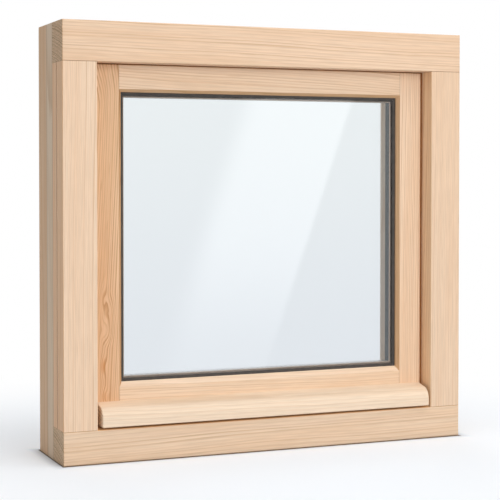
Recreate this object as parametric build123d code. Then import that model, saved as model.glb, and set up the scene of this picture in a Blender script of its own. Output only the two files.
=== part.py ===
from build123d import *
import math
import os

# Wooden window: a fixed pine sash with double glazing, set in a deep pine frame.
# Millimetres. X runs to the right, Y from the front to the back, Z up.
# The origin is at the middle of the frame's underside.
# A depth is measured back from the frame's front face, an inset from an outline's edge inwards.

# Frame: jambs, head and sill
frame_width = 600.0
frame_height = 590.0
frame_depth = 125.0
jamb_face = 47.2
head_face = 54.2
sill_face = 45.0
lap_depth = 52.0
stop_height = 14.0
sill_fall_degrees = 3.0
frame_arris = 1.2

# Fixing groove down the outer side of each jamb
groove_setback = 29.0
groove_width = 3.0
groove_cut = 3.0

# Sash: stiles and rails
sash_setback = 26.0
sash_thickness = 68.0
side_gap = 3.6
head_gap = 1.2
sill_gap = 4.0
stile_face = 34.5
top_rail_face = 33.0
bottom_rail_face = 46.5
lip_thickness = 7.5
bevel_width = 4.0
bevel_depth = 5.0
bottom_bevel_width = 7.0
bottom_bevel_depth = 6.0
glass_rebate = 17.0
tenon_setback = 22.0
tenon_thickness = 22.0
sash_arris = 1.5

# Sealed double glazing
pane_thickness = 4.0
cavity_depth = 14.0
glass_cover = 12.0
spacer_height = 7.0
spacer_show = 2.6
spacer_bevel = 1.0
edge_seal_recess = 0.5

# Glazing gaskets, outside and inside
gasket_thickness = 2.5
gasket_tongue = 8.0
gasket_shoulder = 1.2
gasket_nose = 4.0
gasket_tip = 0.8
inner_gasket_nose = 2.5

# Glazing bead
bead_flat = 18.5
bead_slope = 6.0
bead_arris = 2.0

# Weather seals in the gap round the sash, set back from its face
seal_setback = 3.0
seal_depth = 8.0

# Drip rail across the foot of the sash
drip_projection = 31.0
drip_height = 30.2
drip_gap = 3.5
drip_end_gap = 5.4
drip_fall_degrees = 12.0
drip_round = 17.0
drip_end_round = 1.5
drip_arris = 1.2
drip_groove_setback = 6.0
drip_groove_width = 4.0
drip_groove_cut = 4.0

# Depths that follow from the sizes above
sash_back = sash_setback + sash_thickness
lip_back = sash_setback + lip_thickness
glass_front = lip_back + gasket_thickness
cavity_front = glass_front + pane_thickness
cavity_back = cavity_front + cavity_depth
glass_back = cavity_back + pane_thickness
bead_front = glass_back + gasket_thickness
sill_fall = math.tan(math.radians(sill_fall_degrees))


def sill_top(depth):
    """Height of the sloping top of the sill at a depth."""
    return sill_face + depth * sill_fall


# Outlines seen from the front, each as half width, bottom and top
frame_outline = (frame_width / 2, 0.0, frame_height)
opening_outline = (frame_width / 2 - jamb_face, sill_face, frame_height - head_face)
sash_outline = (
    opening_outline[0] - side_gap,
    sill_top(sash_setback) + sill_gap,
    opening_outline[2] - head_gap,
)
sight_outline = (
    sash_outline[0] - stile_face - bevel_width,
    sash_outline[1] + bottom_rail_face + bottom_bevel_width,
    sash_outline[2] - top_rail_face - bevel_width,
)
drip_outline = (
    opening_outline[0] - drip_end_gap,
    sill_face + drip_gap,
    sill_face + drip_gap + drip_height,
)


def edge_plane(side, outline):
    """Plane across one edge of an outline: local X runs inwards, local Y to the back."""
    half_width, bottom, top = outline
    middle = (bottom + top) / 2
    places = {
        "left": (-half_width, middle, (1, 0, 0), (0, 0, 1)),
        "right": (half_width, middle, (-1, 0, 0), (0, 0, -1)),
        "bottom": (0, bottom, (0, 0, 1), (-1, 0, 0)),
        "top": (0, top, (0, 0, -1), (1, 0, 0)),
    }
    x, z, inwards, along = places[side]
    return Plane((x, -frame_depth / 2, z), x_dir=inwards, z_dir=along)


def edge_length(side, outline):
    """Length of one edge of an outline."""
    half_width, bottom, top = outline
    if side in ("left", "right"):
        return top - bottom
    return 2 * half_width


def section(*points):
    """Closed section from corners given as inset and depth."""
    return make_face(Polyline(*points, close=True))


def strip_section(outer, inner, front, back):
    """Rectangular section between two insets and two depths."""
    return section((outer, front), (inner, front), (inner, back), (outer, back))


def member(profile, side, outline):
    """Straight piece along one edge of an outline, square at its ends."""
    length = edge_length(side, outline)
    return extrude(edge_plane(side, outline) * profile, length / 2, both=True)


def mitred_member(profile, side, outline):
    """Straight piece along one edge of an outline, mitred to the pieces beside it."""
    half_length = edge_length(side, outline) / 2
    reach = sash_thickness
    plane = edge_plane(side, outline)
    piece = extrude(plane * profile, half_length + reach, both=True)
    mitres = section(
        (-reach, half_length + reach),
        (reach, half_length - reach),
        (reach, reach - half_length),
        (-reach, -half_length - reach),
    )
    face_plane = Plane(plane.origin, x_dir=plane.x_dir, z_dir=(0, 1, 0))
    return piece & extrude(face_plane * mitres, frame_depth)


def front_edges(piece):
    """Edges round the foremost face of a piece."""
    return piece.faces().sort_by(Axis.Y)[0].edges()


# Frame

def frame_section(face, rise=0.0):
    """Section of a frame member, with the stop that the sash closes on."""
    reveal_back = face + rise
    stop_edge = reveal_back + stop_height
    return section(
        (0, 0),
        (face, 0),
        (reveal_back, sash_back),
        (stop_edge, sash_back),
        (stop_edge, frame_depth),
        (0, frame_depth),
    )


def jamb(side):
    """Upright of full height, cut back at both ends for the cheeks of head and sill."""
    upright = member(frame_section(jamb_face), side, frame_outline)
    groove = strip_section(0, groove_cut, groove_setback, groove_setback + groove_width)
    upright -= member(groove, side, frame_outline)
    upright = fillet(front_edges(upright).filter_by(Axis.Z), frame_arris)
    upright -= member(strip_section(0, head_face, 0, lap_depth), "top", frame_outline)
    upright -= member(strip_section(0, sill_face, 0, lap_depth), "bottom", frame_outline)
    return upright


def cross_member(side, face, rise, jambs):
    """Head or sill: its front cheek runs over the jambs, the rest fits between them."""
    beam = member(frame_section(face, rise), side, frame_outline)
    beam = fillet(front_edges(beam), frame_arris)
    return beam - jambs[0] - jambs[1]


# Sash

def sash_section(face, bevel, bevel_back, rise=0.0):
    """Section of a sash member: bevelled lip in front of the glass, rebate behind it."""
    lip_edge = face + bevel
    rebate_edge = lip_edge - glass_rebate
    return section(
        (0, sash_setback),
        (face, sash_setback),
        (lip_edge, sash_setback + bevel_back),
        (lip_edge, lip_back),
        (rebate_edge, lip_back),
        (rebate_edge, sash_back),
        (rise, sash_back),
    )


def tenon_slot(side, face, bevel):
    """Open slot through the end of a stile for the tenon of a rail."""
    tenon_front = sash_setback + tenon_setback
    tenon_edge = face + bevel - glass_rebate
    slot = strip_section(0, tenon_edge, tenon_front, tenon_front + tenon_thickness)
    return member(slot, side, sash_outline)


def stile_blank(side):
    """Upright of the sash, slotted for the rails, its foot cut parallel to the sill."""
    upright = member(sash_section(stile_face, bevel_width, bevel_depth), side, sash_outline)
    foot = section((0, sash_setback), (0, sash_back), (sash_thickness * sill_fall, sash_back))
    upright -= member(foot, "bottom", sash_outline)
    upright -= tenon_slot("top", top_rail_face, bevel_width)
    return upright - tenon_slot("bottom", bottom_rail_face, bottom_bevel_width)


def stile(blank):
    """Stile with the arrises of its face eased, apart from the one along the bevel."""
    front = front_edges(blank)
    outer_edge = front.filter_by(Axis.Z).sort_by(lambda edge: abs(edge.center().X))[-1]
    return fillet([outer_edge] + list(front.filter_by(Axis.X)), sash_arris)


def rail(side, profile, stile_blanks):
    """Rail of the sash, scribed over the bevels of the stiles and tenoned through them."""
    beam = member(profile, side, sash_outline)
    across = front_edges(beam).filter_by(Axis.X).sort_by(Axis.Z)
    outer_edge = across[-1] if side == "top" else across[0]
    beam = fillet(outer_edge, sash_arris)
    return beam - stile_blanks[0] - stile_blanks[1]


def drip_rail():
    """Rounded rail that throws rain clear of the gap under the sash."""
    front = sash_setback - drip_projection
    shoulder = drip_height - drip_projection * math.tan(math.radians(drip_fall_degrees))
    profile = section((0, front), (shoulder, front), (drip_height, sash_setback), (0, sash_setback))
    front_corners = profile.vertices().sort_by(Axis.Y)[:2]
    profile = fillet(front_corners.sort_by(Axis.X)[-1], drip_round)
    beam = member(profile, "bottom", drip_outline)
    ends = beam.faces().filter_by(Axis.X).edges()
    back = beam.faces().sort_by(Axis.Y)[-1].edges()
    base = beam.faces().sort_by(Axis.Z)[0].edges()
    eased = [edge for edge in ends if edge not in back and edge not in base]
    beam = fillet(eased, drip_end_round)
    underside = beam.faces().sort_by(Axis.Z)[0].edges()
    beam = fillet(underside.sort_by(Axis.Y)[:-1], drip_arris)
    groove_front = front + drip_groove_setback
    groove = strip_section(0, drip_groove_cut, groove_front, groove_front + drip_groove_width)
    return beam - member(groove, "bottom", drip_outline)


# Glazing

def pane(front):
    """Sheet of glass that reaches behind the lip of the sash on every side."""
    half_width, bottom, top = sight_outline
    width = 2 * (half_width + glass_cover)
    height = top - bottom + 2 * glass_cover
    middle_y = front + pane_thickness / 2 - frame_depth / 2
    return Pos(0, middle_y, (bottom + top) / 2) * Box(width, pane_thickness, height)


def outer_gasket_section():
    """Gasket between lip and glass, with a sloping nose that shows round the glass."""
    return section(
        (-gasket_tongue, lip_back),
        (gasket_shoulder, lip_back),
        (gasket_nose, glass_front - gasket_tip),
        (gasket_nose, glass_front),
        (-gasket_tongue, glass_front),
    )


def inner_gasket_section():
    """Gasket between glass and bead, with a short sloping nose."""
    return section(
        (-gasket_tongue, glass_back),
        (inner_gasket_nose, glass_back),
        (inner_gasket_nose, glass_back + gasket_tip),
        (gasket_shoulder, bead_front),
        (-gasket_tongue, bead_front),
    )


def spacer_section():
    """Spacer bar between the panes, bevelled where it shows."""
    edge = gasket_nose + spacer_show
    return section(
        (edge - spacer_height, cavity_front),
        (edge - spacer_bevel, cavity_front),
        (edge, cavity_front + spacer_bevel),
        (edge, cavity_back - spacer_bevel),
        (edge - spacer_bevel, cavity_back),
        (edge - spacer_height, cavity_back),
    )


def edge_seal_section():
    """Sealant that fills the edge of the glazing outside the spacer."""
    spacer_outside = gasket_nose + spacer_show - spacer_height
    return strip_section(edge_seal_recess - glass_cover, spacer_outside, cavity_front, cavity_back)


def bead_section():
    """Glazing bead that fills the rebate behind the glass and slopes off to the back."""
    crest = bead_front + bead_flat
    profile = section(
        (-glass_rebate, bead_front),
        (0, bead_front),
        (0, crest),
        (-bead_slope, sash_back),
        (-glass_rebate, sash_back),
    )
    sight_corners = profile.vertices().sort_by(Axis.X)[-2:]
    return fillet(sight_corners.sort_by(Axis.Y)[-1], bead_arris)


def weather_seal_section(outer, inner, fall=0.0):
    """Seal that fills the gap round the sash, between two insets that may rise to the back."""
    front = sash_setback + seal_setback
    back = front + seal_depth
    front_rise = seal_setback * fall
    back_rise = front_rise + seal_depth * fall
    return section(
        (outer + front_rise, front),
        (inner + front_rise, front),
        (inner + back_rise, back),
        (outer + back_rise, back),
    )


def weather_seals(sill):
    """Seals up both sides of the sash, with one over its head and one under its foot between them."""
    beside = weather_seal_section(0, side_gap)
    over = weather_seal_section(-head_gap, 0)
    under = weather_seal_section(-sill_gap, 0, sill_fall)
    return {
        "weather_seal_left": member(beside, "left", opening_outline) - sill,
        "weather_seal_right": member(beside, "right", opening_outline) - sill,
        "weather_seal_top": member(over, "top", sash_outline),
        "weather_seal_bottom": member(under, "bottom", sash_outline),
    }


def ring(name, profile, outline):
    """Four mitred strips round an outline, named after their sides."""
    return {f"{name}_{side}": mitred_member(profile, side, outline)
            for side in ("left", "right", "top", "bottom")}


def window():
    """All pieces of the window by name."""
    jambs = [jamb("left"), jamb("right")]
    stile_blanks = [stile_blank("left"), stile_blank("right")]
    top_section = sash_section(top_rail_face, bevel_width, bevel_depth)
    bottom_section = sash_section(
        bottom_rail_face, bottom_bevel_width, bottom_bevel_depth, sash_thickness * sill_fall
    )
    pieces = {
        "left_jamb": jambs[0],
        "right_jamb": jambs[1],
        "frame_head": cross_member("top", head_face, 0.0, jambs),
        "frame_sill": cross_member("bottom", sill_face, sash_back * sill_fall, jambs),
        "sash_left_stile": stile(stile_blanks[0]),
        "sash_right_stile": stile(stile_blanks[1]),
        "sash_top_rail": rail("top", top_section, stile_blanks),
        "sash_bottom_rail": rail("bottom", bottom_section, stile_blanks),
        "drip_rail": drip_rail(),
        "outer_pane": pane(glass_front),
        "inner_pane": pane(cavity_back),
    }
    pieces.update(ring("spacer", spacer_section(), sight_outline))
    pieces.update(ring("edge_seal", edge_seal_section(), sight_outline))
    pieces.update(ring("outer_gasket", outer_gasket_section(), sight_outline))
    pieces.update(ring("inner_gasket", inner_gasket_section(), sight_outline))
    pieces.update(ring("glazing_bead", bead_section(), sight_outline))
    pieces.update(weather_seals(pieces["frame_sill"]))
    return pieces


os.makedirs("parts", exist_ok=True)
for piece_name, piece_solid in window().items():
    export_step(piece_solid, f"parts/{piece_name}.step")
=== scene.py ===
"""A fixed pine window in its frame, dressed and lit for a studio picture.

Sizes are metres and colours are steps of 0 to 255, unless a name or a comment says else.
"""

import math

import bpy
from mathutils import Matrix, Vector


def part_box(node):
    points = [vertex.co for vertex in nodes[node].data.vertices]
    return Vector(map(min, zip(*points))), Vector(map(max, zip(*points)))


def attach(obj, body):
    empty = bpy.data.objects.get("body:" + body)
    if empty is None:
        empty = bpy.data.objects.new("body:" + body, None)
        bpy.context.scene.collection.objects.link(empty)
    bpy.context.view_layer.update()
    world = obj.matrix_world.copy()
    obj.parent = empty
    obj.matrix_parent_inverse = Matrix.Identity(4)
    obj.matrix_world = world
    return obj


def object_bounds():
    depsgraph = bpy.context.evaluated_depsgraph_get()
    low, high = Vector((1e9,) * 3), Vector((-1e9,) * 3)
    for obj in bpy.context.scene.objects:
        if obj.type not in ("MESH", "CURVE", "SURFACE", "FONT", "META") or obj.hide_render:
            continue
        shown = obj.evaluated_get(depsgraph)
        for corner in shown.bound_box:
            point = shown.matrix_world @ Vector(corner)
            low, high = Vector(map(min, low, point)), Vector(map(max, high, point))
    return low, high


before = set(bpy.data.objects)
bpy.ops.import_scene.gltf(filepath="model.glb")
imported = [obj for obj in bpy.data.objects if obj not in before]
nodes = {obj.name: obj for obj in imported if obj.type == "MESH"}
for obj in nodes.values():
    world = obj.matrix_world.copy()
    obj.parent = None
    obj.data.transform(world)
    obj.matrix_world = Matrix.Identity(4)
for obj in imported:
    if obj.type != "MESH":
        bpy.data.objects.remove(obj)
cad_low, cad_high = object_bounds()


# The jambs
# Two upright members of laminated pine, three layers glued through the depth and planed.
# The front layer stops at the head and the sill; the two behind run on to the ends, so the
# upper and lower ends of those show end grain.
def put(tree, kind, sockets=None, **settings):
    """Adds a node; each named or numbered socket takes a link or a plain value."""
    node = tree.nodes.new(kind)
    for name, value in settings.items():
        setattr(node, name, value)
    for name, value in (sockets or {}).items():
        if isinstance(value, bpy.types.NodeSocket):
            tree.links.new(value, node.inputs[name])
        else:
            node.inputs[name].default_value = value
    return node


def calc(tree, operation, *values):
    """The result of one piece of arithmetic."""
    return put(tree, "ShaderNodeMath", dict(enumerate(values)), operation=operation).outputs[0]


def reckon(tree, operation, *vectors):
    """The results of one piece of vector arithmetic, as a Vector and as a Value."""
    return put(tree, "ShaderNodeVectorMath", dict(enumerate(vectors)), operation=operation).outputs


def span(tree, value, low, high, to_low=0.0, to_high=1.0):
    """The value carried smoothly from one range to another."""
    sockets = {0: value, 1: low, 2: high, 3: to_low, 4: to_high}
    return put(tree, "ShaderNodeMapRange", sockets, interpolation_type="SMOOTHSTEP").outputs[0]


def tint(tree, share, under, over, kind="MIX"):
    """One colour laid over another."""
    sockets = {"Factor": share, 6: under, 7: over}
    return put(tree, "ShaderNodeMix", sockets, data_type="RGBA", blend_type=kind).outputs[2]


def wash(tree, share, colour, over):
    """A colour multiplied by another, as a thin stain does."""
    return tint(tree, share, colour, over, "MULTIPLY")


def stretch(tree, place, across, along):
    """A place scaled for a pattern that is fine across the grain and long along it."""
    return reckon(tree, "MULTIPLY", place, (across, across, along))["Vector"]


def mottle(tree, place, detail=2.0, roughness=0.5):
    """Soft three-dimensional noise, from 0 to 1."""
    sockets = {"Vector": place, "Scale": 1.0, "Detail": detail, "Roughness": roughness}
    return put(tree, "ShaderNodeTexNoise", sockets).outputs


def paint(red, green, blue):
    """A given colour, as the shader wants it, by the standard curve of screens."""
    steps = [c / 255 for c in (red, green, blue)]
    return (*[c / 12.92 if c <= 0.04045 else ((c + 0.055) / 1.055) ** 2.4 for c in steps], 1)


def start_group(name, inputs, outputs):
    """A shader group with named inputs, given as plain values, and named outputs."""
    tree = bpy.data.node_groups.new(name, "ShaderNodeTree")
    kinds = {1: "NodeSocketFloat", 3: "NodeSocketVector"}
    for label, value in inputs.items():
        kind = kinds[len(value) if isinstance(value, tuple) else 1]
        socket = tree.interface.new_socket(label, in_out="INPUT", socket_type=kind)
        socket.default_value = value
    for label in outputs:
        tree.interface.new_socket(label, in_out="OUTPUT", socket_type="NodeSocketFloat")
    return tree, tree.nodes.new("NodeGroupInput").outputs, tree.nodes.new("NodeGroupOutput").inputs


def make_growth_rings():
    """Growth rings round a pith on the Z axis, with the fibres, flecks and tone that follow them.

    A pattern's scale is in waves a metre, first across the grain and then along it.
    """
    drift_scale, ripple_scale, fibre_scale = (13, 2.4), (260, 9), (900, 26)
    fleck_scale, tone_scale = (420, 24), (45, 3.2)
    uneven_pace, uneven_years, ripple_years = 0.31, 1.6, 0.5
    ring_profile = ((0.40, 0.08), (0.80, 0.80), (0.90, 1.0))
    faintest_ring = 0.35
    fleck_edges, tone_edges = (0.64, 0.76), (0.35, 0.68)
    tree, given, found = start_group(
        "growth rings",
        {"Place": (0.0, 0.0, 0.0), "Ring Width": 0.003, "Wander": 0.006, "Push": 0.0},
        ("Late Wood", "Fibre", "Fleck", "Tone"),
    )
    place = given["Place"]
    drift = mottle(tree, stretch(tree, place, *drift_scale), detail=1.5)["Color"]
    centred = reckon(tree, "SUBTRACT", drift, (0.5, 0.5, 0.5))["Vector"]
    sockets = {0: centred, "Scale": given["Wander"]}
    swing = put(tree, "ShaderNodeVectorMath", sockets, operation="SCALE").outputs["Vector"]
    moved = reckon(tree, "ADD", place, swing)["Vector"]
    radius = reckon(tree, "LENGTH", stretch(tree, moved, 1, 0))["Value"]
    radius = calc(tree, "ADD", radius, given["Push"])
    years = calc(tree, "DIVIDE", radius, given["Ring Width"])
    sockets = {"W": years, "Scale": uneven_pace, "Detail": 1.0}
    uneven = put(tree, "ShaderNodeTexNoise", sockets, noise_dimensions="1D").outputs["Fac"]
    years = calc(tree, "ADD", years, calc(tree, "MULTIPLY", uneven, uneven_years))
    ripple = mottle(tree, stretch(tree, place, *ripple_scale), detail=1.0)["Fac"]
    years = calc(tree, "ADD", years, calc(tree, "MULTIPLY", ripple, ripple_years))
    ring = put(tree, "ShaderNodeValToRGB", {"Fac": calc(tree, "FRACT", years)})
    ramp = ring.color_ramp
    ramp.interpolation = "EASE"
    ramp.elements[0].color = (0, 0, 0, 1)
    ramp.elements[1].color = (0, 0, 0, 1)
    for spot, grey in ring_profile:
        ramp.elements.new(spot).color = (grey, grey, grey, 1)
    year = calc(tree, "FLOOR", years)
    lottery = put(tree, "ShaderNodeTexWhiteNoise", {"W": year}, noise_dimensions="1D").outputs["Value"]
    weight = span(tree, lottery, 0, 1, faintest_ring, 1.0)
    tree.links.new(calc(tree, "MULTIPLY", ring.outputs["Color"], weight), found["Late Wood"])
    tree.links.new(mottle(tree, stretch(tree, place, *fibre_scale))["Fac"], found["Fibre"])
    fleck = mottle(tree, stretch(tree, place, *fleck_scale), detail=1.0)["Fac"]
    tree.links.new(span(tree, fleck, *fleck_edges), found["Fleck"])
    tone = mottle(tree, stretch(tree, place, *tone_scale), detail=2.0)["Fac"]
    tree.links.new(span(tree, tone, *tone_edges), found["Tone"])
    return tree


def make_lines():
    """Two fine lines square to an axis: how many of them a place is past, and if it is on one."""
    tree, given, found = start_group(
        "fine lines",
        {"Place": (0.0, 0.0, 0.0), "Axis": (0.0, 1.0, 0.0), "First": 0.0, "Second": 0.0, "Reach": 0.0004},
        ("Layer", "Line"),
    )
    along = reckon(tree, "DOT_PRODUCT", given["Place"], given["Axis"])["Value"]
    past = [calc(tree, "GREATER_THAN", along, given[line]) for line in ("First", "Second")]
    tree.links.new(calc(tree, "ADD", *past), found["Layer"])
    beyond = [calc(tree, "SUBTRACT", along, given[line]) for line in ("First", "Second")]
    nearest = calc(tree, "MINIMUM", *[calc(tree, "ABSOLUTE", distance) for distance in beyond])
    tree.links.new(calc(tree, "LESS_THAN", nearest, given["Reach"]), found["Line"])
    return tree


def make_end_grain():
    """How far a surface is cut across the grain, with the pores that show there."""
    cut_edges, pore_scale, pore_roughness = (0.55, 0.9), 620, 0.7
    tree, given, found = start_group(
        "end grain",
        {"Place": (0.0, 0.0, 0.0), "Normal": (0.0, 0.0, 1.0), "Grain": (0.0, 0.0, 1.0)},
        ("Cut", "Pores"),
    )
    lean = calc(tree, "ABSOLUTE", reckon(tree, "DOT_PRODUCT", given["Normal"], given["Grain"])["Value"])
    tree.links.new(span(tree, lean, *cut_edges), found["Cut"])
    fine = stretch(tree, given["Place"], pore_scale, pore_scale)
    tree.links.new(mottle(tree, fine, roughness=pore_roughness)["Fac"], found["Pores"])
    return tree


def use(tree, group, **values):
    """Places a group and feeds its inputs, named with spaces as underscores."""
    sockets = {name.replace("_", " "): value for name, value in values.items()}
    return put(tree, "ShaderNodeGroup", sockets, node_tree=group).outputs


def start_material(name):
    """A node material with its shader and its object coordinates."""
    material = bpy.data.materials.new(name)
    material.use_nodes = True
    tree = material.node_tree
    return material, tree, tree.nodes["Principled BSDF"], put(tree, "ShaderNodeTexCoord").outputs["Object"]


UPRIGHT, LEVEL = (0, 0, 1), (1, 0, 0)
LAYER_SHIFT = (0.043, 0.019, 0.37)
FLAME_CORE, FLAME_RIM = 0.1, 0.9
SIDE_SKIN, SIDE_LIMIT, MOULDED_LIMIT = 0.0035, 0.9, 0.82
FRAME_FRONT = -cad_high.y
FRAME_SIDE = cad_high.x - SIDE_SKIN


def find_in_log(tree, place, grain, pith, turn, layer):
    """A place in the log that a piece is cut from, with its own stretch of log for each layer."""
    lay_log = (0, math.radians(90), 0) if grain == LEVEL else (0, 0, 0)
    rotation = [a + math.radians(b) for a, b in zip(lay_log, turn)]
    sockets = {"Vector": place, "Location": pith, "Rotation": rotation}
    log = put(tree, "ShaderNodeMapping", sockets, vector_type="TEXTURE").outputs[0]
    sockets = {0: LAYER_SHIFT, "Scale": layer}
    shift = put(tree, "ShaderNodeVectorMath", sockets, operation="SCALE").outputs["Vector"]
    return reckon(tree, "ADD", log, shift)["Vector"]


def find_eyes(tree, place, eyes):
    """How far the eyes push the rings out, and how orange they make the wood."""
    push = flame = 0.0
    for centre, reach, strength, orange in eyes:
        away = reckon(tree, "SUBTRACT", place, centre)["Vector"]
        distance = reckon(tree, "LENGTH", reckon(tree, "DIVIDE", away, reach)["Vector"])["Value"]
        push = calc(tree, "ADD", push, span(tree, distance, 0, 1, strength, 0))
        flame = calc(tree, "MAXIMUM", flame, span(tree, distance, FLAME_CORE, FLAME_RIM, orange, 0))
    return push, flame


def find_faces(tree, place, normal):
    """Masks of the frame's outer sides, and of the other faces that look neither front nor back."""
    across = put(tree, "ShaderNodeSeparateXYZ", {0: place}).outputs["X"]
    squareness = calc(tree, "ABSOLUTE", reckon(tree, "DOT_PRODUCT", normal, (0, 1, 0))["Value"])
    outer = calc(tree, "GREATER_THAN", calc(tree, "ABSOLUTE", across), FRAME_SIDE)
    outer = calc(tree, "MULTIPLY", outer, calc(tree, "LESS_THAN", squareness, SIDE_LIMIT))
    turned = calc(tree, "LESS_THAN", squareness, MOULDED_LIMIT)
    return outer, calc(tree, "MULTIPLY", turned, calc(tree, "SUBTRACT", 1.0, outer))


GROWTH_RINGS, FINE_LINES, END_GRAIN = make_growth_rings(), make_lines(), make_end_grain()
NOWHERE, NO_PAINTED_LIGHT = (9.0, 9.0), (255, 255, 255)
MOST_NOISE, WIDE_NOISE = (0.3, 0.7), (0.25, 0.75)
FRONT_LAYER, LAYER_SLACK = 0.5, 0.1
FLAME_ORANGE, FLAME_IN_EARLY_WOOD = (204, 140, 86), 0.7
TONE_SHARE, FLECK_SHARE = 0.55, 0.30
# The outer sides take a colour for each layer, multiplied in: partly the layers' own tone, partly painted
# shade that darkens those sides.
SIDE_TINTS_AND_SHADE = ((252, 237, 219), (238, 241, 240), (237, 226, 210))
# The groove down each jamb's outer side is painted darker: painted shade in the groove.
GROOVE_MIDDLE, GROOVE_REACH, GROOVE_PAINTED_SHADE = FRAME_FRONT + 0.0305, 0.0017, (172, 144, 108)
END_TINT = (247, 260, 272)
GLUE_REACH, GLUE_SHARE, GLUE_BROWN = 0.0006, 0.55, (112, 88, 62)
SEAM_REACH, SEAM_SHARE, SEAM_BROWN = 0.0005, 0.55, (128, 92, 60)
FIBRE_TONES, PORE_TONES, END_RING_TONES = (0.94, 1.04), (0.56, 1.05), (1.12, 0.78)
PLANED_ROUGHNESS, SAWN_ROUGHNESS, WOOD_GLOSS = (0.50, 0.64), 0.18, 0.22
RING_RELIEF, WOOD_BUMP, FIBRE_HEIGHT = 0.6, 0.12, 0.0004


def pine(
    name, grain, colours, pith, turn, ring_width, wander,
    glue=NOWHERE, shoulders=NOWHERE, eyes=(), edge=NO_PAINTED_LIGHT,
):
    """Planed pine cut from its own place in a log.

    The colours are early wood, late wood and a warm tone. The pith is a point that the log's heart
    passes through, and turn is its lean in degrees. Glue lines are depths, and shoulders are where
    the piece's ends show, along the grain. An eye is a place, a reach, a push on the rings and a
    share of orange. The edge is painted light and shade, multiplied into faces that look neither
    front, back nor outwards.
    """
    material, tree, shader, place = start_material(name)
    early, late, warm = [paint(*c) for c in colours]
    normal = put(tree, "ShaderNodeNewGeometry").outputs["Normal"]
    layers = use(tree, FINE_LINES, Place=place, First=glue[0], Second=glue[1], Reach=GLUE_REACH)
    inside = find_in_log(tree, place, grain, pith, turn, layers["Layer"])
    push, flame = find_eyes(tree, place, eyes)
    outer, moulded = find_faces(tree, place, normal)
    grown = use(tree, GROWTH_RINGS, Place=inside, Ring_Width=ring_width, Wander=wander, Push=push)
    ends = use(tree, END_GRAIN, Place=place, Normal=normal, Grain=grain)
    colour = tint(tree, grown["Late Wood"], early, late)
    colour = tint(tree, calc(tree, "MULTIPLY", grown["Tone"], TONE_SHARE), colour, warm)
    colour = tint(tree, calc(tree, "MULTIPLY", grown["Fleck"], FLECK_SHARE), colour, late)
    taken_up = span(tree, grown["Late Wood"], 0, 1, FLAME_IN_EARLY_WOOD, 1.0)
    colour = tint(tree, calc(tree, "MULTIPLY", flame, taken_up), colour, paint(*FLAME_ORANGE))
    # Painted shade and each layer's own tone on the frame's outer sides.
    for number, layer_tint_and_shade in enumerate(SIDE_TINTS_AND_SHADE):
        in_layer = calc(tree, "COMPARE", layers["Layer"], number, LAYER_SLACK)
        colour = wash(tree, calc(tree, "MULTIPLY", outer, in_layer), colour, paint(*layer_tint_and_shade))
    # Painted shade in the groove on the jambs' outer sides.
    if grain == UPRIGHT:
        middle = GROOVE_MIDDLE
        groove = use(tree, FINE_LINES, Place=place, First=middle, Second=middle, Reach=GROOVE_REACH)
        colour = wash(tree, calc(tree, "MULTIPLY", outer, groove["Line"]), colour, paint(*GROOVE_PAINTED_SHADE))
    # Painted light and shade on the faces that look neither front, back nor outwards, as each piece's edge
    # asks.
    colour = wash(tree, moulded, colour, paint(*edge))
    colour = wash(tree, 1.0, colour, span(tree, grown["Fibre"], *MOST_NOISE, *FIBRE_TONES))
    pored = wash(tree, 1.0, colour, span(tree, ends["Pores"], *MOST_NOISE, *PORE_TONES))
    pored = wash(tree, 1.0, pored, span(tree, grown["Late Wood"], 0, 1, *END_RING_TONES))
    pored = wash(tree, outer, pored, paint(*END_TINT))
    colour = tint(tree, ends["Cut"], colour, pored)
    colour = tint(tree, calc(tree, "MULTIPLY", layers["Line"], GLUE_SHARE), colour, paint(*GLUE_BROWN))
    first, second = shoulders
    seam = use(tree, FINE_LINES, Place=place, Axis=grain, First=first, Second=second, Reach=SEAM_REACH)
    in_front = calc(tree, "LESS_THAN", layers["Layer"], FRONT_LAYER)
    seam = calc(tree, "MULTIPLY", seam["Line"], in_front)
    colour = tint(tree, calc(tree, "MULTIPLY", seam, SEAM_SHARE), colour, paint(*SEAM_BROWN))
    tree.links.new(colour, shader.inputs["Base Color"])
    rough = span(tree, grown["Fibre"], *WIDE_NOISE, *PLANED_ROUGHNESS)
    rough = calc(tree, "ADD", rough, calc(tree, "MULTIPLY", ends["Cut"], SAWN_ROUGHNESS))
    tree.links.new(rough, shader.inputs["Roughness"])
    shader.inputs["Specular IOR Level"].default_value = WOOD_GLOSS
    height = calc(tree, "ADD", grown["Fibre"], calc(tree, "MULTIPLY", grown["Late Wood"], RING_RELIEF))
    height = calc(tree, "ADD", height, calc(tree, "MULTIPLY", ends["Cut"], ends["Pores"]))
    sockets = {"Height": height, "Strength": WOOD_BUMP, "Distance": FIBRE_HEIGHT}
    tree.links.new(put(tree, "ShaderNodeBump", sockets).outputs["Normal"], shader.inputs["Normal"])
    return material


def dress(piece, material):
    """Gives a CAD piece its finish."""
    nodes[piece].data.materials.clear()
    nodes[piece].data.materials.append(material)


FRAME_GLUE = (FRAME_FRONT + 0.052, FRAME_FRONT + 0.082)
SILL_TOP, HEAD_UNDERSIDE = 0.045, cad_high.z - 0.0542
PALE_PINE = ((242, 214, 187), (222, 184, 148), (236, 201, 169))
TAN_PINE = ((237, 208, 180), (217, 179, 144), (231, 195, 162))
# The jambs' reveals and other turned faces are painted lighter and warmer than the wood: painted bounce
# light.
REVEAL_PAINTED_LIGHT = (268, 266, 256)
for side, colours, pith, ring_width in (
    ("left", PALE_PINE, (-0.52, 0.02, 0), 0.0023),
    ("right", TAN_PINE, (0.05, 0.03, 0), 0.0025),
):
    wood = pine(
        side + " jamb pine", UPRIGHT, colours, pith, turn=(0.3, 0.5, 0), ring_width=ring_width,
        wander=0.010, glue=FRAME_GLUE, shoulders=(SILL_TOP, HEAD_UNDERSIDE), edge=REVEAL_PAINTED_LIGHT,
    )
    dress(side + "_jamb", wood)


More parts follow.
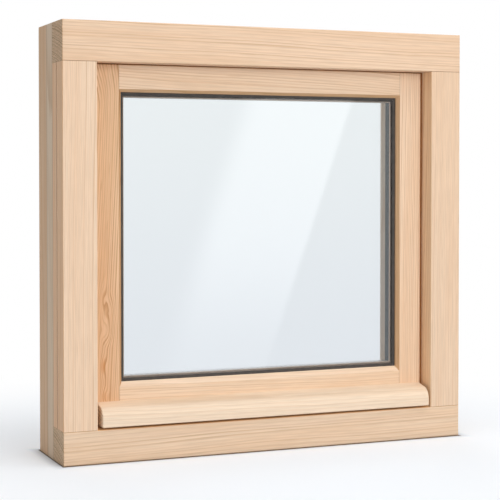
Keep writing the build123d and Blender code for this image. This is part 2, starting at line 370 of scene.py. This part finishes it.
# The head and the sill
# Level members of the same laminated pine. Their front layer runs through to the outer sides
# over the ends of the jambs, so each side shows a patch of end grain at the top and the foot.
HEAD_PINE = ((238, 207, 178), (213, 174, 138), (230, 192, 157))
SILL_PINE = ((236, 208, 180), (212, 175, 140), (230, 195, 161))
# The sill's top face, shaded in the gap under the drip rail, and its other turned faces are painted warmer:
# painted bounce light.
GAP_PAINTED_LIGHT = (262, 241, 206)
wood = pine(
    "head pine", LEVEL, HEAD_PINE, pith=(0, 0.02, 0.34), turn=(0.4, 1.2, 0), ring_width=0.0042,
    wander=0.016, glue=FRAME_GLUE,
)
dress("frame_head", wood)
wood = pine(
    "sill pine", LEVEL, SILL_PINE, pith=(0, 0.03, -0.22), turn=(0.2, -0.8, 0), ring_width=0.0046,
    wander=0.018, glue=FRAME_GLUE, edge=GAP_PAINTED_LIGHT,
)
dress("frame_sill", wood)


# The sash stiles
# Two uprights of the fixed sash, also laminated. The left one is cut nearer to the heart and
# shows long pointed figures and a few orange eyes; the right one is plain.
SASH_GLUE = (FRAME_FRONT + 0.049, FRAME_FRONT + 0.071)
# The stiles' and top rail's bevels and other turned faces, which look away from the lamps, are painted darker
# and warmer: painted shade.
BEVEL_PAINTED_SHADE = (228, 212, 190)
HEART_PINE = ((238, 201, 165), (182, 136, 92), (217, 172, 130))
STILE_PINE = ((243, 214, 186), (211, 169, 129), (235, 197, 161))
LEFT_EYES = (
    ((-0.238, -0.036, 0.127), (0.008, 0.02, 0.024), 0.003, 0.80),
    ((-0.231, -0.036, 0.174), (0.013, 0.02, 0.026), -0.007, 0.25),
    ((-0.226, -0.036, 0.200), (0.012, 0.02, 0.030), -0.006, 0.20),
    ((-0.236, -0.036, 0.086), (0.009, 0.02, 0.016), 0.003, 0.65),
    ((-0.239, -0.036, 0.218), (0.008, 0.02, 0.030), 0.004, 0.30),
    ((-0.232, -0.036, 0.130), (0.040, 0.03, 0.330), 0.0, 0.36),
    ((-0.252, -0.036, 0.560), (0.060, 0.03, 0.085), 0.016, 0.0),
)
wood = pine(
    "left stile pine", UPRIGHT, HEART_PINE, pith=(-0.266, -0.028, 0.30), turn=(-0.5, 3.2, 0),
    ring_width=0.0030, wander=0.017, glue=SASH_GLUE, eyes=LEFT_EYES, edge=BEVEL_PAINTED_SHADE,
)
dress("sash_left_stile", wood)
wood = pine(
    "right stile pine", UPRIGHT, STILE_PINE, pith=(0.04, 0.01, 0), turn=(0.3, 0.4, 0),
    ring_width=0.0026, wander=0.010, glue=SASH_GLUE, edge=BEVEL_PAINTED_SHADE,
)
dress("sash_right_stile", wood)


# The sash rails
# The top and bottom rails stand between the stiles, tenoned through them, with the moulded
# edge scribed to meet the stiles' own.
RAIL_PINE = ((241, 213, 185), (215, 177, 139), (233, 198, 164))
# The bottom rail's bevel, which faces up towards the lamps, is painted paler: a painted highlight.
BEVEL_PAINTED_HIGHLIGHT = (262, 265, 270)
STILE_FACE = 0.0345
RAIL_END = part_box("sash_right_stile")[1].x - STILE_FACE
# The top rail's turned faces take the painted shade, and the bottom rail's take the painted highlight.
for side, pith, lean, ring_width, edge in (
    ("top", (0, 0.01, 0.62), 2.2, 0.0038, BEVEL_PAINTED_SHADE),
    ("bottom", (0, 0, 0), 1.0, 0.0040, BEVEL_PAINTED_HIGHLIGHT),
):
    wood = pine(
        side + " rail pine", LEVEL, RAIL_PINE, pith, turn=(0.4, lean, 0), ring_width=ring_width,
        wander=0.016, glue=SASH_GLUE, shoulders=(-RAIL_END, RAIL_END), edge=edge,
    )
    dress(f"sash_{side}_rail", wood)


# The drip rail
# One solid length of pine with a rounded nose, fixed to the foot of the sash to throw rain
# clear of the sill.
DRIP_PINE = ((244, 221, 196), (233, 204, 174), (240, 214, 186))
wood = pine(
    "drip rail pine", LEVEL, DRIP_PINE, pith=(0, -0.02, -0.06), turn=(0.2, 0.6, 0),
    ring_width=0.0044, wander=0.014,
)
dress("drip_rail", wood)


# The panes
# Two sheets of clear float glass, four millimetres thick. Lamps reach what stands behind
# them, so shadow rays pass straight through with a little lost.
# The glass runs from a darker foot to a paler top: its own faint tint with a painted reflection.
GLASS_FOOT_TINT_AND_REFLECTION, GLASS_TOP_TINT_AND_REFLECTION, LET_THROUGH = (239, 242, 245), (244, 247, 248), (246, 249, 250)


def make_glass(name, foot, top):
    """Clear glass, painted darker towards its foot and paler towards its top as a painted reflection, with a
    faint unevenness.
    """
    material, tree, shader, place = start_material(name)
    cloud_scale, cloud_height, foot_height, top_height = 3.0, 0.08, 0.12, 0.56
    cloud = mottle(tree, stretch(tree, place, cloud_scale, cloud_scale), detail=1.0)["Fac"]
    height = put(tree, "ShaderNodeSeparateXYZ", {0: place}).outputs["Z"]
    rise = calc(tree, "ADD", height, calc(tree, "MULTIPLY", cloud, cloud_height))
    colour = tint(tree, span(tree, rise, foot_height, top_height), paint(*foot), paint(*top))
    tree.links.new(colour, shader.inputs["Base Color"])
    shader.inputs["Roughness"].default_value = 0.0
    shader.inputs["Transmission Weight"].default_value = 1.0
    shader.inputs["IOR"].default_value = 1.5
    clear = put(tree, "ShaderNodeBsdfTransparent", {"Color": paint(*LET_THROUGH)})
    path = put(tree, "ShaderNodeLightPath").outputs["Is Shadow Ray"]
    both = put(tree, "ShaderNodeMixShader", {0: path, 1: shader.outputs[0], 2: clear.outputs[0]})
    tree.links.new(both.outputs[0], tree.nodes["Material Output"].inputs["Surface"])
    return material


PANE_GLASS = make_glass("float glass", GLASS_FOOT_TINT_AND_REFLECTION, GLASS_TOP_TINT_AND_REFLECTION)
for pane in ("outer_pane", "inner_pane"):
    dress(pane, PANE_GLASS)


# The spacer bars
# A hollow aluminium bar holds the panes apart all round, primed where it meets them. Its inner
# face is bare, with two rows of small slots that let the drying beads inside reach the air;
# each slot is a thin dark oval, painted shade for the hole.
def make_metal(name, primed, bare, inward):
    """Satin aluminium with drawn lines on the face that looks inward, and a primed skin elsewhere."""
    material, tree, shader, place = start_material(name)
    drawn_scale, drawn_tones, roughness = 900, (0.90, 1.06), (0.34, 0.50)
    bare_edges = (0.75, 0.95)
    drawn = mottle(tree, stretch(tree, place, drawn_scale, drawn_scale), detail=3.0)["Fac"]
    normal = put(tree, "ShaderNodeNewGeometry").outputs["Normal"]
    facing = span(tree, reckon(tree, "DOT_PRODUCT", normal, inward)["Value"], *bare_edges)
    colour = tint(tree, facing, paint(*primed), paint(*bare))
    colour = wash(tree, 1.0, colour, span(tree, drawn, *MOST_NOISE, *drawn_tones))
    tree.links.new(colour, shader.inputs["Base Color"])
    tree.links.new(facing, shader.inputs["Metallic"])
    tree.links.new(span(tree, drawn, *MOST_NOISE, *roughness), shader.inputs["Roughness"])
    return material


def make_rows_tree():
    """Small oval pieces in rows along the edges of a path, each facing the way that the path holds."""
    tree = bpy.data.node_groups.new("rows of small pieces", "GeometryNodeTree")
    tree.interface.new_socket("Path", in_out="INPUT", socket_type="NodeSocketGeometry")
    for label in ("Spacing", "Length", "Width", "Height"):
        tree.interface.new_socket(label, in_out="INPUT", socket_type="NodeSocketFloat")
    tree.interface.new_socket("Sides", in_out="INPUT", socket_type="NodeSocketInt")
    tree.interface.new_socket("Finish", in_out="INPUT", socket_type="NodeSocketMaterial")
    tree.interface.new_socket("Pieces", in_out="OUTPUT", socket_type="NodeSocketGeometry")
    given = tree.nodes.new("NodeGroupInput").outputs
    line = put(tree, "GeometryNodeMeshToCurve", {"Mesh": given["Path"]}).outputs[0]
    spots = put(tree, "GeometryNodeResampleCurve", {"Curve": line, "Length": given["Spacing"]}, mode="LENGTH")
    way = put(tree, "GeometryNodeInputNamedAttribute", {"Name": "facing"}, data_type="FLOAT_VECTOR")
    raised = put(tree, "FunctionNodeAlignRotationToVector", {"Vector": way.outputs["Attribute"]}, axis="Z")
    tangent = put(tree, "GeometryNodeInputTangent").outputs[0]
    sockets = {"Rotation": raised.outputs[0], "Vector": tangent}
    turned = put(tree, "FunctionNodeAlignRotationToVector", sockets, axis="X", pivot_axis="Z")
    oval = put(tree, "GeometryNodeMeshCylinder", {"Vertices": given["Sides"], "Radius": 0.5, "Depth": 1.0})
    size = put(tree, "ShaderNodeCombineXYZ", {0: given["Length"], 1: given["Width"], 2: given["Height"]})
    sockets = {"Points": spots.outputs[0], "Instance": oval.outputs["Mesh"]}
    sockets.update({"Rotation": turned.outputs[0], "Scale": size.outputs[0]})
    rows = put(tree, "GeometryNodeInstanceOnPoints", sockets)
    real = put(tree, "GeometryNodeRealizeInstances", {"Geometry": rows.outputs[0]})
    done = put(tree, "GeometryNodeSetMaterial", {"Geometry": real.outputs[0], "Material": given["Finish"]})
    put(tree, "NodeGroupOutput", {0: done.outputs[0]})
    return tree


ROWS_TREE = make_rows_tree()


def row_on(node, inward, depth, inset):
    """A line along a bar's inner face, this deep from its front, with the way the face looks."""
    low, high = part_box(node)
    way = Vector(inward)
    along = way.cross((0, 1, 0))
    half = (high - low) / 2
    face = (low + high) / 2 + Vector([w * h for w, h in zip(way, half)])
    face.y = low.y + depth
    reach = Vector([a * (h - inset) for a, h in zip(along, half)])
    return face - reach, face + reach, way


def set_rows(name, rows, finish, slot, **sizes):
    """Sets small pieces along the rows, as one plain mesh."""
    mesh = bpy.data.meshes.new(name)
    ends = [end for row in rows for end in row[:2]]
    mesh.from_pydata(ends, [(2 * number, 2 * number + 1) for number in range(len(rows))], [])
    facing = mesh.attributes.new("facing", "FLOAT_VECTOR", "POINT")
    for number in range(len(ends)):
        facing.data[number].vector = rows[number // 2][2]
    piece = bpy.data.objects.new(name, mesh)
    bpy.context.scene.collection.objects.link(piece)
    modifier = piece.modifiers.new("rows", "NODES")
    modifier.node_group = ROWS_TREE
    values = {**sizes, "Finish": finish}
    for socket in ROWS_TREE.interface.items_tree:
        if socket.name in values:
            modifier[socket.identifier] = values[socket.name]
    made = bpy.data.meshes.new_from_object(piece.evaluated_get(bpy.context.evaluated_depsgraph_get()))
    piece.modifiers.clear()
    piece.data = made
    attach(piece, "root")


SIDES = {"left": (1, 0, 0), "right": (-1, 0, 0), "top": (0, 0, -1), "bottom": (0, 0, 1)}
SPACER_PRIMER = (204, 178, 158)
# The bare inner face's colour on each side is painted light and shade: pale on the bottom bar, which faces
# up, and dark on the sides and top.
SPACER_FACES_LIT_AND_SHADED = {
    "left": (84, 88, 90),
    "right": (78, 83, 85),
    "top": (106, 104, 100),
    "bottom": (232, 230, 226),
}
SPACER_DEPTH, SLOT_INSET, SLOT_ROWS = 0.014, 0.012, (1 / 3, 2 / 3)
SLOT_SIZES = {"Spacing": 0.0075, "Length": 0.0030, "Width": 0.0008, "Height": 0.0001, "Sides": 10}
# Slots are thin dark ovals laid on the face: painted shade standing for the holes.
SLOT_SHADE_RIM, SLOT_SHADE_HOLLOW = (36, 36, 38), (30, 30, 32)
SLOT_PAINTED_SHADE = make_metal("spacer slot painted shade", SLOT_SHADE_RIM, SLOT_SHADE_HOLLOW, UPRIGHT)
slot_rows = []
for side, inward in SIDES.items():
    metal = make_metal(side + " spacer aluminium", SPACER_PRIMER, SPACER_FACES_LIT_AND_SHADED[side], inward)
    dress("spacer_" + side, metal)
    for share in SLOT_ROWS:
        slot_rows.append(row_on("spacer_" + side, inward, SPACER_DEPTH * share, SLOT_INSET))
set_rows("spacer_slots", slot_rows, SLOT_PAINTED_SHADE, "spacer_aluminium", **SLOT_SIZES)


# The edge seal
# Black sealant that fills the rim of the glazing outside the spacer bar.
def make_rubber(name, dark, light, roughness):
    """Matt rubber or sealant with a fine cloudy bloom."""
    material, tree, shader, place = start_material(name)
    bloom_scale, bloom_edges, unevenness = 160, (0.3, 0.75), 0.1
    grit_scale, grit_strength, grit_height = 2400, 0.1, 0.0002
    bloom = mottle(tree, stretch(tree, place, bloom_scale, bloom_scale), detail=4.0, roughness=0.6)["Fac"]
    colour = tint(tree, span(tree, bloom, *bloom_edges), paint(*dark), paint(*light))
    tree.links.new(colour, shader.inputs["Base Color"])
    rough = span(tree, bloom, 0.2, 0.8, roughness - unevenness, roughness + unevenness)
    tree.links.new(rough, shader.inputs["Roughness"])
    grit = mottle(tree, stretch(tree, place, grit_scale, grit_scale))["Fac"]
    sockets = {"Height": grit, "Strength": grit_strength, "Distance": grit_height}
    tree.links.new(put(tree, "ShaderNodeBump", sockets).outputs["Normal"], shader.inputs["Normal"])
    return material


SEALANT_BLACK, SEALANT_BLOOM = (38, 38, 40), (58, 58, 60)
SEALANT = make_rubber("edge sealant", SEALANT_BLACK, SEALANT_BLOOM, roughness=0.65)
for side in SIDES:
    dress("edge_seal_" + side, SEALANT)


# The glazing gaskets
# Extruded charcoal rubber strips, mitred at the corners, that press on the panes from the
# sash in front and from the glazing beads behind.
GASKET_CHARCOAL, GASKET_BLOOM = (52, 46, 42), (72, 66, 60)
GASKET_RUBBER = make_rubber("gasket rubber", GASKET_CHARCOAL, GASKET_BLOOM, roughness=0.55)
for side in SIDES:
    dress("outer_gasket_" + side, GASKET_RUBBER)
    dress("inner_gasket_" + side, GASKET_RUBBER)


# The glazing beads
# Four mitred pine strips behind the glass, held to the sash by a row of small steel pins
# through the face of each one that looks into the opening.
BEAD_PINE = ((250, 232, 212), (236, 206, 177), (246, 221, 195))
for side, grain, pith in (
    ("left", UPRIGHT, (-0.35, 0.0, 0)),
    ("right", UPRIGHT, (0.36, 0.01, 0)),
    ("top", LEVEL, (0, 0.0, 0.66)),
    ("bottom", LEVEL, (0, 0.01, -0.04)),
):
    wood = pine(
        side + " bead pine", grain, BEAD_PINE, pith, turn=(0.5, 0.4, 0), ring_width=0.0028, wander=0.008
    )
    dress("glazing_bead_" + side, wood)
PIN_DEPTH, PIN_INSET = 0.010, 0.030
PIN_SIZES = {"Spacing": 0.09, "Length": 0.0016, "Width": 0.0016, "Height": 0.0004, "Sides": 12}
PIN_RIM, PIN_FACE = (150, 146, 140), (158, 155, 150)
PIN_STEEL = make_metal("pin steel", PIN_RIM, PIN_FACE, UPRIGHT)
pin_rows = [row_on("glazing_bead_" + side, inward, PIN_DEPTH, PIN_INSET) for side, inward in SIDES.items()]
set_rows("bead_pins", pin_rows, PIN_STEEL, "spacer_aluminium", **PIN_SIZES)


# The weather seals
# Soft brown rubber strips that close the gap round the sash, a little behind its face.
SEAL_BROWN, SEAL_BLOOM = (150, 93, 40), (168, 109, 52)
SEAL_RUBBER = make_rubber("weather seal rubber", SEAL_BROWN, SEAL_BLOOM, roughness=0.6)
for side in SIDES:
    dress("weather_seal_" + side, SEAL_RUBBER)


# The studio
# A wide pale floor with a painted contact shadow close round the foot, a white surround, soft
# lamps in front, overhead and behind, and a leaning light card that shows only in reflections.
def add_sheet(name, corners, material):
    """A flat stage sheet with these corners."""
    mesh = bpy.data.meshes.new(name)
    mesh.from_pydata(corners, [], [range(len(corners))])
    mesh.materials.append(material)
    sheet = bpy.data.objects.new(name, mesh)
    bpy.context.scene.collection.objects.link(sheet)
    return sheet


def start_plain(name):
    """A node material with nothing in it yet."""
    material = bpy.data.materials.new(name)
    material.use_nodes = True
    material.node_tree.nodes.clear()
    return material, material.node_tree


def seen(tree):
    """1 for rays that come from the camera, from a mirror or through glass."""
    path = put(tree, "ShaderNodeLightPath").outputs
    direct = calc(tree, "MAXIMUM", path["Is Camera Ray"], path["Is Transmission Ray"])
    return calc(tree, "MAXIMUM", direct, path["Is Glossy Ray"])


# The stage's colours and the lamps' are shares of 1.
WHITE = (1, 1, 1, 1)
PAPER_WHITE, PAINTED_CONTACT_SHADOW = (0.765, 0.80, 0.85, 1), (0.12, 0.09, 0.07, 1)
CONTACT_START, CONTACT_REACH, SIDE_FALL = 0.001, 0.007, 2.0
FLOOR_REACH, FLOOR_NEAR, FLOOR_FAR = 8.0, 0.28, 0.80
FLOOR_LIFT, LIFT_START = 0.235, 0.02


def make_floor():
    """Pale matt paper that keeps the window's shadow, carries a painted contact shadow round the foot and
    turns white away from it.
    """
    material, tree = start_plain("studio paper")
    place = put(tree, "ShaderNodeTexCoord").outputs["Object"]
    axes = put(tree, "ShaderNodeSeparateXYZ", {0: place}).outputs
    beside = calc(tree, "SUBTRACT", calc(tree, "ABSOLUTE", axes["X"]), cad_high.x)
    before = calc(tree, "SUBTRACT", calc(tree, "ABSOLUTE", axes["Y"]), cad_high.y)
    # Painted contact shadow: the paper is painted dark right at the foot.
    close = calc(tree, "MAXIMUM", calc(tree, "MULTIPLY", beside, SIDE_FALL), before)
    colour = tint(tree, span(tree, close, CONTACT_START, CONTACT_REACH), PAINTED_CONTACT_SHADOW, PAPER_WHITE)
    plain = put(tree, "ShaderNodeBsdfDiffuse", {"Color": colour})
    # The camera's extra glow fades in only clear of the foot, which leaves painted shade there.
    clear = span(tree, calc(tree, "MAXIMUM", beside, before), 0.0, LIFT_START)
    lift = calc(tree, "MULTIPLY", clear, FLOOR_LIFT)
    lifted = put(tree, "ShaderNodeEmission", {"Color": WHITE, "Strength": lift})
    bright = put(tree, "ShaderNodeAddShader", {0: plain.outputs[0], 1: lifted.outputs[0]})
    white = put(tree, "ShaderNodeEmission", {"Color": WHITE, "Strength": 1.0})
    far = span(tree, reckon(tree, "LENGTH", place)["Value"], FLOOR_NEAR, FLOOR_FAR)
    paper = put(tree, "ShaderNodeMixShader", {0: far, 1: bright.outputs[0], 2: white.outputs[0]})
    both = put(tree, "ShaderNodeMixShader", {0: seen(tree), 1: plain.outputs[0], 2: paper.outputs[0]})
    put(tree, "ShaderNodeOutputMaterial", {"Surface": both.outputs[0]})
    return material


floor_corners = [(x * FLOOR_REACH, y * FLOOR_REACH, 0) for x, y in ((-1, -1), (1, -1), (1, 1), (-1, 1))]
add_sheet("floor", floor_corners, make_floor())

BRIGHT_SIDE, BRIGHT_LEVEL, DIM_LEVEL = (-0.15, -0.83, 0.52), 0.62, 0.08
world = bpy.data.worlds.new("studio surround")
bpy.context.scene.world = world
world.use_nodes = True
sky = world.node_tree
backdrop = sky.nodes["Background"]
direction = put(sky, "ShaderNodeTexCoord").outputs["Generated"]
toward = reckon(sky, "DOT_PRODUCT", direction, BRIGHT_SIDE)["Value"]
ambient = span(sky, toward, -1, 1, DIM_LEVEL, BRIGHT_LEVEL)
shown = put(sky, "ShaderNodeMix", {"Factor": seen(sky), 2: ambient, 3: 1.0}, data_type="FLOAT")
sky.links.new(shown.outputs[0], backdrop.inputs["Strength"])
backdrop.inputs["Color"].default_value = WHITE

MIDDLE, LAMP_WHITE = (0, 0, 0.3), (1.0, 1.0, 0.985)


def add_lamp(name, place, width, height, power):
    """A soft rectangular lamp aimed at the window's middle, which lights but isn't seen."""
    data = bpy.data.lights.new(name, "AREA")
    data.shape = "RECTANGLE"
    data.size = width
    data.size_y = height
    data.energy = power
    data.color = LAMP_WHITE
    lamp = bpy.data.objects.new(name, data)
    lamp.location = place
    for ray in ("camera", "glossy", "transmission"):
        setattr(lamp, "visible_" + ray, False)
    lamp.rotation_euler = (Vector(MIDDLE) - Vector(place)).to_track_quat("-Z", "Y").to_euler()
    bpy.context.scene.collection.objects.link(lamp)


add_lamp("front lamp", (0.95, -4.8, 1.7), width=2.2, height=2.2, power=86)
add_lamp("overhead lamp", (0.4, -0.5, 2.3), width=1.6, height=1.6, power=17)
add_lamp("back lamp", (0.6, 3.2, 1.4), width=2.4, height=2.0, power=38)


def make_card():
    """Light that is even across the card and fades towards its foot and its side edges."""
    left_fade, right_fade, foot_fade, foot_level = 0.35, 0.92, 0.5, 0.35
    dim, bright = 1.0, 3.3
    material, tree = start_plain("light card")
    place = put(tree, "ShaderNodeTexCoord").outputs["UV"]
    axes = put(tree, "ShaderNodeSeparateXYZ", {0: place}).outputs
    from_left = span(tree, axes["X"], 0.0, left_fade)
    from_right = span(tree, axes["X"], 1.0, right_fade)
    from_foot = span(tree, axes["Y"], 0.0, foot_fade, foot_level, 1.0)
    level = calc(tree, "MULTIPLY", calc(tree, "MULTIPLY", from_left, from_right), from_foot)
    strength = span(tree, level, 0, 1, dim, bright)
    glow = put(tree, "ShaderNodeEmission", {"Color": WHITE, "Strength": strength})
    put(tree, "ShaderNodeOutputMaterial", {"Surface": glow.outputs[0]})
    return material


CARD_DISTANCE, CARD_FOOT, CARD_TOP = -0.6, 0.01, 0.66
CARD_LEFT, CARD_WIDTH, CARD_LEAN = -0.012, 0.267, 0.35
CARD_SPOTS = ((0, 0), (1, 0), (1, 1), (0, 1))
card_corners = []
for across, up in CARD_SPOTS:
    height = CARD_TOP if up else CARD_FOOT
    card_corners.append((CARD_LEFT + CARD_LEAN * height + CARD_WIDTH * across, CARD_DISTANCE, height))
card = add_sheet("light card", card_corners, make_card())
card_map = card.data.uv_layers.new(name="card")
for corner, spot in zip(card_map.data, CARD_SPOTS):
    corner.uv = spot
for ray in ("camera", "diffuse", "transmission", "volume_scatter", "shadow"):
    setattr(card, "visible_" + ray, False)


# The camera
# It stands at the left, a little above the window's middle, and looks slightly down.
CAMERA_PLACE = (-0.7980, -1.9082, 0.3890)
CAMERA_DOWN, CAMERA_TURN = math.radians(1.5), math.radians(22.492)
CAMERA_LENS_MM, CAMERA_SENSOR_MM, CAMERA_SHIFT = 103.91, 36, -0.08
camera_data = bpy.data.cameras.new("camera")
camera_data.lens = CAMERA_LENS_MM
camera_data.sensor_width = CAMERA_SENSOR_MM
camera_data.shift_y = CAMERA_SHIFT
camera = bpy.data.objects.new("camera", camera_data)
camera.location = CAMERA_PLACE
camera.rotation_euler = (math.radians(90) - CAMERA_DOWN, 0, -CAMERA_TURN)
bpy.context.scene.collection.objects.link(camera)
bpy.context.scene.camera = camera
bpy.context.scene.view_settings.view_transform = "Standard"
